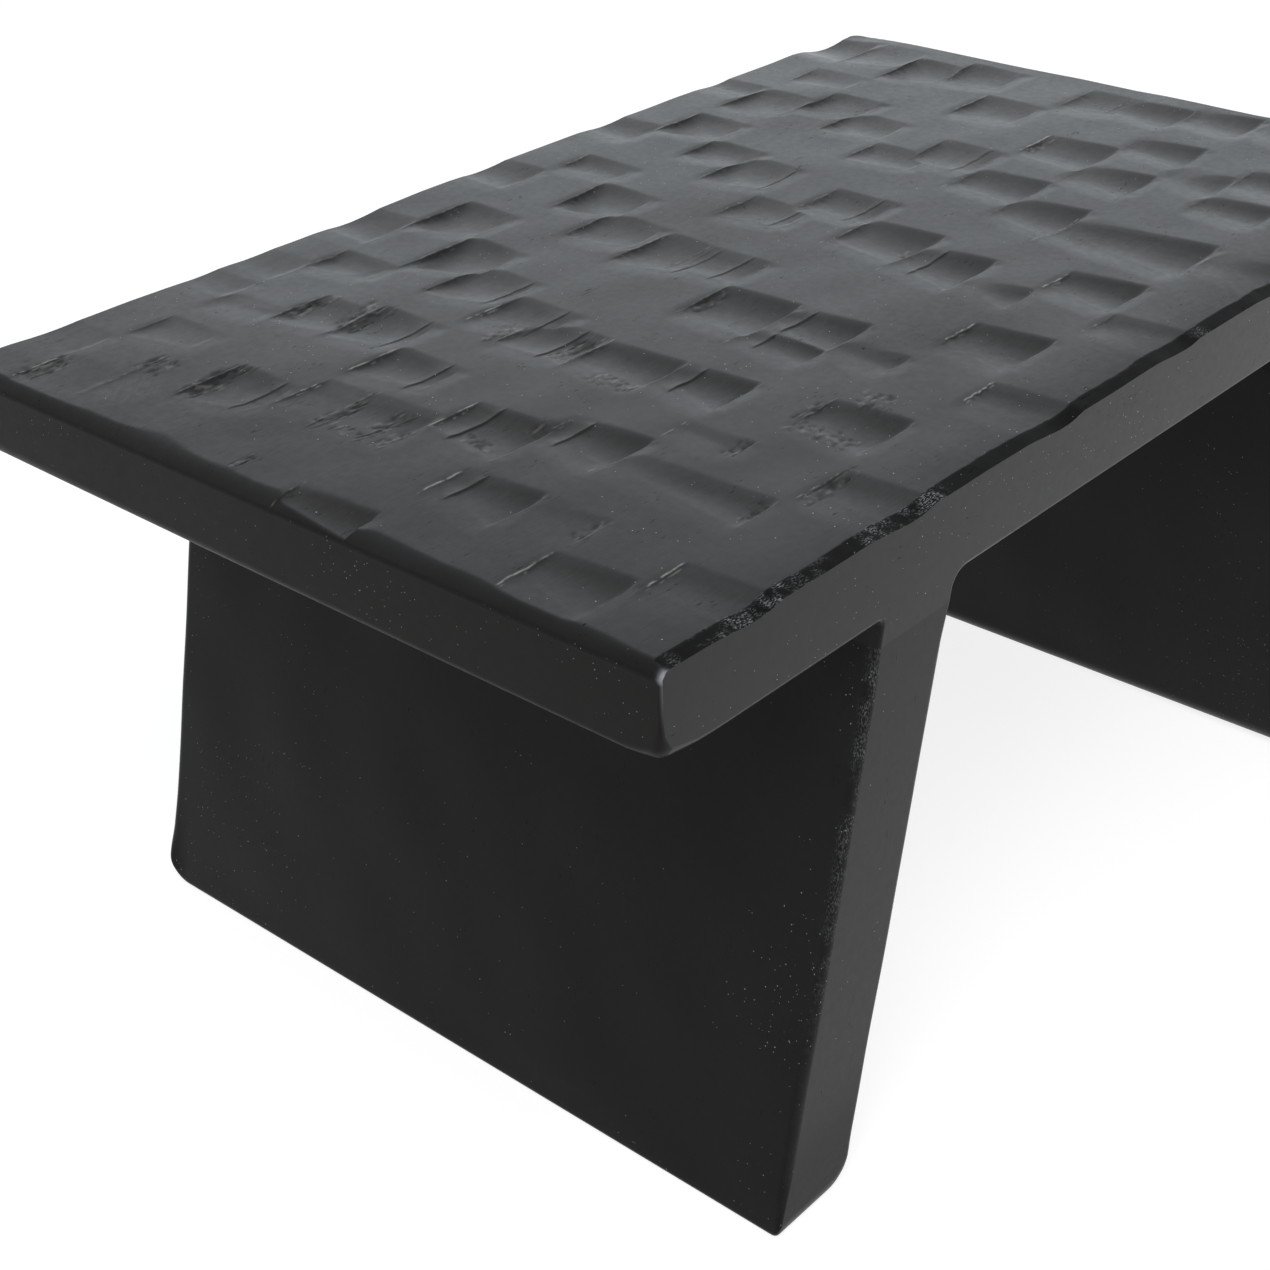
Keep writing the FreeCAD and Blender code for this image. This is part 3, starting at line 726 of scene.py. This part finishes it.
STAIN_DEEP = (0.0050, 0.0052, 0.0056, 1.0)
STAIN_PALE = (0.0080, 0.0082, 0.0087, 1.0)
STAIN_MOTTLE = (0.0030, 0.0030, 0.0031, 1.0)
HEWN_BROWN = (0.0125, 0.0112, 0.0102, 1.0)
HEWN_BLACK = (0.0090, 0.0082, 0.0076, 1.0)
TORN_BROWN = (0.0120, 0.0098, 0.0078, 1.0)
TORN_BLACK = (0.0036, 0.0031, 0.0027, 1.0)
PORE_BLACK = (0.0015, 0.0015, 0.0015, 1.0)
END_BLACK = (0.0060, 0.0052, 0.0045, 1.0)
EDGE_BLACK = (0.0032, 0.0031, 0.0030, 1.0)
FRAY_AND_SHEEN_STRAW = (0.26, 0.25, 0.23, 1.0)
RUBBED_AND_GLINT_GREY = (0.24, 0.25, 0.255, 1.0)
CORNER_HIGHLIGHT_GREY = (0.36, 0.38, 0.40, 1.0)
DUST_GREY = (0.42, 0.42, 0.42, 1.0)
OILED_ROUGHNESS = 0.27


def blackened_wood(name, turn, gloss, dust_amount):
    """Wood stained black and oiled to a satin: a deep black that drifts, with streaks and pores along the
    grain. Hewn floors are duller and keep a little brown, torn fibres more, and frayed edges are pale. The
    arrises carry pale flecks, part wear and part painted glints; the chamfers are darkened as painted shade,
    a painted highlight lightens the front corners, a painted sheen lightens the ridges past the ledges, and
    some dust lies on it. turn lays the grain along the piece."""
    material = bpy.data.materials.new(name)
    material.use_nodes = True
    tree = material.node_tree
    shader = tree.nodes["Principled BSDF"]
    place = node(tree, "ShaderNodeTexCoord").outputs["Object"]
    along_grain = node(tree, "ShaderNodeMapping", Vector=place, Rotation=turn).outputs[0]
    grain = node(tree, "ShaderNodeGroup", {"node_tree": open_grain}, Vector=along_grain)
    streaks = ramp(tree, grain.outputs["Streaks"], 0.35, 0.65)
    mottle = ramp(tree, grain.outputs["Mottle"], 0.3, 0.7)
    pores = grain.outputs["Pores"]
    drift = node(tree, "ShaderNodeTexNoise", _0=place, Scale=9.0, Detail=4.0).outputs[0]
    settled = math_node(tree, "MULTIPLY_ADD", mask(tree, "dusty"), 0.9)
    settled.node.inputs[2].default_value = dust_amount
    dust = node(tree, "ShaderNodeGroup", {"node_tree": dust_specks}, Vector=place, Amount=settled)
    rubbed = mask(tree, "rubbed")
    flecks = node(tree, "ShaderNodeGroup", {"node_tree": rubbed_flecks}, Vector=along_grain, Amount=rubbed)
    hewn = mask(tree, "hewn")
    torn = mask(tree, "torn")
    edge = mask(tree, "edge")
    end_grain = mask(tree, "end_grain")
    tone = mixed(tree, ramp(tree, drift, 0.3, 0.7), STAIN_DEEP, STAIN_PALE)
    layers = (
        (math_node(tree, "MULTIPLY", mottle, 0.3), STAIN_MOTTLE),
        (math_node(tree, "MULTIPLY", hewn, 0.85), mixed(tree, streaks, HEWN_BROWN, HEWN_BLACK)),
        (math_node(tree, "MULTIPLY", torn, 0.85), mixed(tree, streaks, TORN_BROWN, TORN_BLACK)),
        (pores, PORE_BLACK),
        (end_grain, END_BLACK),
        # Painted shade: the chamfers are darkened.
        (edge, EDGE_BLACK),
        # Frayed fibres, and painted sheen on the ridges past the ledges.
        (mask(tree, "fray"), FRAY_AND_SHEEN_STRAW),
        # Pale flecks, part wear and part painted glints.
        (flecks.outputs["Flecks"], RUBBED_AND_GLINT_GREY),
        # Painted highlight at the front corners.
        (mask(tree, "worn"), CORNER_HIGHLIGHT_GREY),
        (dust.outputs["Specks"], DUST_GREY),
    )
    for share, colour in layers:
        tone = mixed(tree, share, tone, colour)
    tree.links.new(tone, shader.inputs["Base Color"])
    rough = math_node(tree, "MULTIPLY", drift, 0.10)
    dulling = ((hewn, 0.22), (mottle, 0.05), (pores, 0.35), (torn, 0.3), (edge, 0.12), (end_grain, 0.12))
    for share, amount in dulling:
        rough = added(tree, rough, share, amount)
    tree.links.new(math_node(tree, "ADD", rough, OILED_ROUGHNESS), shader.inputs["Roughness"])
    shader.inputs["Specular IOR Level"].default_value = gloss
    height = math_node(tree, "MULTIPLY", streaks, math_node(tree, "MULTIPLY", hewn, 0.45))
    for share, amount in ((mottle, 0.12), (pores, -1.2), (flecks.outputs["Flecks"], 1.5)):
        height = added(tree, height, share, amount)
    bump = node(tree, "ShaderNodeBump", Strength=0.22, Distance=0.0002, Height=height).outputs[0]
    tree.links.new(bump, shader.inputs["Normal"])
    return material


LENGTHWISE = (0.0, 0.0, 0.0)

# The end and arris copies have less gloss than the top's, painted shade that darkens the end faces and the
# front chamfer; the side copy keeps about the top's gloss and more dust.
top_wood = blackened_wood("blackened_top_wood", LENGTHWISE, 0.145, 0.14)
end_wood = blackened_wood("blackened_end_wood", LENGTHWISE, 0.115, 0.18)
side_wood = blackened_wood("blackened_side_wood", LENGTHWISE, 0.143, 0.48)
arris_wood = blackened_wood("blackened_arris_wood", LENGTHWISE, 0.045, 0.14)
section = top_section()
for number in range(1, BOARD_COUNT + 1):
    board = top_board(number, section)
    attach(board, "root")
    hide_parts(f"top_board_{number}")


# Each leg is a slab of four upright boards glued edge to edge, splayed outwards. Its head is cut level and
# glued to the shoulders under the top, and its foot is rolled off on the inside and rounded at both corners.

FOOT_ARRIS = 2.0
FOOT_ROLL = 11.5
FRONT_CORNER = 3.4
BACK_CORNER = 10.5
CORNER_REACH = 40.0
LEG_ARRIS = 3.0
HEAD_REACH = 12.0
LEG_WAVE = 0.22
LEG_SEEDS = {"left": 51, "right": 57}
# Pale flecks along each leg's bare edges, part wear and part painted glints, thicker higher up.
RUBBED_AND_GLINT_FROM_EDGE = 0.8
RUBBED_AND_GLINT_WIDTH = 1.8
RUBBED_AND_GLINT_FOOT = 50.0
RUBBED_AND_GLINT_RISE = 110.0
DUSTY_REACH = 45.0


def leg_section():
    """The near leg's section seen from the front: up the outer face, across the level head, down the inner
    face and back along the foot, with a small round at its outer arris and a large one at its inner. Gives
    places, ways out of the wood, and the arris that each point gets at a bare long side."""
    outer_head = (LEG_OUTER_FOOT + LEG_RUN * JOINT_HEIGHT, JOINT_HEIGHT)
    inner_head = (LEG_INNER_FOOT + LEG_RUN * JOINT_HEIGHT, JOINT_HEIGHT)
    tilt_cos = math.cos(math.radians(LEG_SLOPE))
    tilt_sin = math.sin(math.radians(LEG_SLOPE))
    # Each round's middle stands its own radius above the floor and inside the sloping face.
    outer_middle = LEG_OUTER_FOOT + LEG_RUN * FOOT_ARRIS + FOOT_ARRIS / tilt_cos
    inner_middle = LEG_INNER_FOOT + LEG_RUN * FOOT_ROLL - FOOT_ROLL / tilt_cos
    outer_round = arc_points((outer_middle, FOOT_ARRIS), FOOT_ARRIS, 270.0, 180.0 - LEG_SLOPE, 8, 1.0)
    inner_round = arc_points((inner_middle, FOOT_ROLL), FOOT_ROLL, -LEG_SLOPE, -90.0, 16, 1.0)
    level = np.array([[-tilt_cos, 0.0], [tilt_cos, 0.0]])
    parts = (
        outer_round,
        straight_points(outer_round[0][-1], outer_head, 90, (-tilt_cos, tilt_sin)),
        (np.array([outer_head]), level[:1]),
        straight_points(outer_head, inner_head, 8, (0.0, 0.0)),
        (np.array([inner_head]), level[1:]),
        straight_points(inner_head, inner_round[0][0], 90, (tilt_cos, -tilt_sin)),
        inner_round,
        straight_points(inner_round[0][-1], outer_round[0][0], 8, (0.0, -1.0)),
    )
    points = np.concatenate([place for place, _ in parts])
    ways = np.concatenate([way for _, way in parts])
    radius = FOOT_ARRIS - 0.1 + (LEG_ARRIS - FOOT_ARRIS) * eased(points[:, 1] / 20.0)
    above = points[:, 1] - JOINT_HEIGHT + HEAD_REACH
    radius = np.where(above > 0.0, radius + (SIDE_ARRIS - radius) * above / HEAD_REACH, radius)
    return points, ways, radius


def leg_board(side, number, section):
    """One upright board of a leg: the section is carried across the board, drawn in at a bare edge by the
    arris, lifted there at the foot by the rounded corner, and made a little uneven on its two broad faces."""
    points, ways, radius = section
    first = BOARD_WIDTH * (number - 1)
    last = BOARD_WIDTH * number
    across = lines_across(first, last, (), number == 1, number == BOARD_COUNT)
    from_face = np.full(across.size, FAR_FROM_FACE)
    lift = np.zeros(across.size)
    if number == 1:
        from_face = across - first
        lift = inset(np.full(across.size, FRONT_CORNER), from_face)
    if number == BOARD_COUNT:
        from_face = last - across
        lift = inset(np.full(across.size, BACK_CORNER), from_face)
    drawn_in = inset(radius[None, :], from_face[:, None])
    fade = eased((JOINT_HEIGHT - points[:, 1]) / 30.0) * eased(points[:, 1] / 15.0)
    waves = ripples(points[None, :, 1], across[:, None], 35.0, 110.0, 12, LEG_SEEDS[side])
    uneven = LEG_WAVE * waves * fade[None, :]
    drawn_in = drawn_in - uneven * (ways[None, :, 0] < 0) + uneven * (ways[None, :, 0] > 0)
    rings = np.empty((across.size, points.shape[0], 3))
    rings[:, :, 0] = points[None, :, 0] - ways[None, :, 0] * drawn_in
    rings[:, :, 1] = across[:, None]
    rings[:, :, 2] = points[None, :, 1] - ways[None, :, 1] * drawn_in
    rings[:, :, 2] += lift[:, None] * (1.0 - eased(points[:, 1] / CORNER_REACH))[None, :]
    if side == "right":
        rings[:, :, 0] = TOP_LENGTH - rings[:, :, 0]
        rings = rings[:, ::-1]
    # Pale flecks along the bare edge, part wear and part painted glints, thicker higher up.
    upwards = 0.1 + 0.9 * eased((points[None, :, 1] - RUBBED_AND_GLINT_FOOT) / RUBBED_AND_GLINT_RISE)
    rubbed = 0.5 * np.exp(-((from_face[:, None] - RUBBED_AND_GLINT_FROM_EDGE) / RUBBED_AND_GLINT_WIDTH) ** 2) * upwards
    dusty = np.exp(-(from_face[:, None] / DUSTY_REACH) ** 2) * (ways[None, :, 0] < -0.5)
    folds = np.isclose(points[:, 1], JOINT_HEIGHT) & (np.abs(ways[:, 0]) > 0.5)
    board = carry_section(f"{side}_leg_slab_{number}", rings, {"rubbed": rubbed, "dusty": dusty}, folds)
    for material in (leg_wood, inner_wood):
        board.data.materials.append(material)
    other_materials(board, ways[:, 0] > 0.5, np.zeros((across.size, len(points))), 0)
    return board


UPRIGHT = (0.0, math.radians(90.0), 0.0)
# The legs take copies with less gloss than the top, painted shade; the second copy, with the least, darkens
# the faces towards the far end.
leg_wood = blackened_wood("blackened_leg_wood", UPRIGHT, 0.11, 0.14)
inner_wood = blackened_wood("blackened_inner_wood", UPRIGHT, 0.08, 0.14)
section = leg_section()
for side in ("left", "right"):
    for number in range(1, BOARD_COUNT + 1):
        board = leg_board(side, number, section)
        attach(board, "root")
        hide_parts(f"{side}_leg_board_{number}")


# Loose tenons of bare wood, one in each leg board, are glued into the leg's head and into the shoulder above
# it. They are out of sight once the stool is together, so the solids of the model are kept as they are.

STRAW = (0.66, 0.49, 0.31, 1.0)
LIGHT_BROWN = (0.50, 0.34, 0.20, 1.0)
PORE_BROWN = (0.30, 0.19, 0.10, 1.0)


def bare_wood():
    """Sawn pale wood: straw and light brown streaks along the upright grain, with short pores."""
    material = bpy.data.materials.new("bare_tenon_wood")
    material.use_nodes = True
    tree = material.node_tree
    shader = tree.nodes["Principled BSDF"]
    place = node(tree, "ShaderNodeTexCoord").outputs["Object"]
    upright = node(tree, "ShaderNodeMapping", Vector=place, Rotation=UPRIGHT).outputs[0]
    grain = node(tree, "ShaderNodeGroup", {"node_tree": open_grain}, Vector=upright)
    tone = mixed(tree, grain.outputs["Streaks"], STRAW, LIGHT_BROWN)
    tone = mixed(tree, grain.outputs["Pores"], tone, PORE_BROWN)
    tree.links.new(tone, shader.inputs["Base Color"])
    shader.inputs["Roughness"].default_value = 0.7
    streaks = grain.outputs["Streaks"]
    bump = node(tree, "ShaderNodeBump", Strength=0.3, Distance=0.0003, Height=streaks).outputs[0]
    tree.links.new(bump, shader.inputs["Normal"])
    return material


tenon_wood = bare_wood()
for name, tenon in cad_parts.items():
    if "tenon" in name:
        tenon.data.materials.clear()
        tenon.data.materials.append(tenon_wood)


# The studio: a wide pale floor, a large soft panel beyond the far back corner, a soft lamp overhead, a small
# one behind the camera, and a weak one that stands for light off the floor along the front. What is seen
# round the stool is white.

FLOOR_REACH = 6.0
FLOOR_LINES = 25
COOL_WHITE = (0.80, 0.92, 1.0)
NEUTRAL_WHITE = (1.0, 1.0, 1.0)
PALE_GREY = (0.8, 0.8, 0.8, 1.0)
SHADOW_GREY = (0.3, 0.3, 0.3, 1.0)
FULL_WHITE = (1.0, 1.0, 1.0, 1.0)
FLOOR_GLOW = 0.85
SURROUND_LIGHT = 0.05


def seen_directly(tree):
    """1 on rays from the camera, and on mirror and clear rays, so that gloss shows the same white."""
    path = node(tree, "ShaderNodeLightPath")
    seen = math_node(tree, "MAXIMUM", path.outputs["Is Camera Ray"], path.outputs["Is Glossy Ray"])
    return math_node(tree, "MAXIMUM", seen, path.outputs["Is Transmission Ray"])


def studio_floor():
    """A floor of 12 m on a side with a pale matt face, lifted to white where it is seen, less in the
    shadow."""
    span = np.linspace(-FLOOR_REACH, FLOOR_REACH, FLOOR_LINES)
    grid_y, grid_x = np.meshgrid(span, span, indexing="ij")
    corners = np.stack([grid_x, grid_y, np.zeros_like(grid_x)], axis=-1).reshape(-1, 3)
    index = np.arange(span.size ** 2).reshape(span.size, span.size)
    faces = np.stack([index[:-1, :-1], index[:-1, 1:], index[1:, 1:], index[1:, :-1]], axis=-1).reshape(-1, 4)
    mesh = bpy.data.meshes.new("studio_floor")
    mesh.from_pydata(corners, [], faces.tolist())
    floor = bpy.data.objects.new("studio_floor", mesh)
    bpy.context.scene.collection.objects.link(floor)
    material = bpy.data.materials.new("pale_floor")
    material.use_nodes = True
    tree = material.node_tree
    tree.nodes.remove(tree.nodes["Principled BSDF"])
    matt = node(tree, "ShaderNodeBsdfDiffuse", Color=PALE_GREY).outputs[0]
    faint = node(tree, "ShaderNodeBsdfDiffuse", Color=SHADOW_GREY).outputs[0]
    glow = node(tree, "ShaderNodeEmission", Color=FULL_WHITE, Strength=FLOOR_GLOW).outputs[0]
    lifted = node(tree, "ShaderNodeAddShader", _0=faint, _1=glow).outputs[0]
    shown = node(tree, "ShaderNodeMixShader", _0=seen_directly(tree), _1=matt, _2=lifted).outputs[0]
    tree.links.new(shown, tree.nodes["Material Output"].inputs["Surface"])
    mesh.materials.append(material)


def soft_lamp(name, place, target, width, height, power, colour):
    """A rectangular soft lamp at a place, facing a target."""
    light = bpy.data.lights.new(name, "AREA")
    light.shape = "RECTANGLE"
    light.size = width
    light.size_y = height
    light.energy = power
    light.color = colour
    lamp = bpy.data.objects.new(name, light)
    lamp.location = place
    lamp.visible_camera = False
    lamp.rotation_euler = (Vector(target) - Vector(place)).to_track_quat("-Z", "Y").to_euler()
    bpy.context.scene.collection.objects.link(lamp)


studio_floor()
soft_lamp("back_panel", (1.6, 1.4, 0.95), (0.0, 0.0, 0.25), 3.4, 1.8, 14.0, COOL_WHITE)
soft_lamp("overhead_lamp", (0.4, 0.35, 2.1), (0.0, 0.0, 0.2), 2.4, 2.4, 16.0, COOL_WHITE)
soft_lamp("camera_lamp", (-1.0, -0.8, 1.9), (0.0, 0.0, 0.2), 1.0, 1.0, 28.0, NEUTRAL_WHITE)
soft_lamp("floor_bounce", (0.25, -0.46, 0.004), (0.25, -0.46, 1.0), 1.1, 0.58, 1.05, NEUTRAL_WHITE)

world = bpy.data.worlds.new("white_surround")
world.use_nodes = True
tree = world.node_tree
backdrop = tree.nodes["Background"]
backdrop.inputs["Color"].default_value = FULL_WHITE
strength = math_node(tree, "MULTIPLY_ADD", seen_directly(tree), 1.0 - SURROUND_LIGHT)
strength.node.inputs[2].default_value = SURROUND_LIGHT
tree.links.new(strength, backdrop.inputs["Strength"])
bpy.context.scene.world = world
bpy.context.scene.view_settings.view_transform = "Standard"


# The camera stands off the near front corner and looks down along the top, at the photograph's angle. It is
# placed in metres and turned in degrees, and its lens is given in millimetres.

CAMERA_PLACE = (-0.59515, -0.45589, 0.51847)
CAMERA_HEADING = -48.115
CAMERA_DIP = 30.536
CAMERA_ROLL = -1.43
FOCAL_LENGTH = 63.075
SENSOR_WIDTH = 36.0

lens = bpy.data.cameras.new("camera")
lens.sensor_width = SENSOR_WIDTH
lens.lens = FOCAL_LENGTH
lens.clip_start = 0.01
camera = bpy.data.objects.new("camera", lens)
heading = Matrix.Rotation(math.radians(CAMERA_HEADING), 4, "Z")
pitch = Matrix.Rotation(math.radians(90.0 - CAMERA_DIP), 4, "X")
roll = Matrix.Rotation(math.radians(CAMERA_ROLL), 4, "Z")
camera.matrix_world = Matrix.Translation(CAMERA_PLACE) @ heading @ pitch @ roll
bpy.context.scene.collection.objects.link(camera)
bpy.context.scene.camera = camera
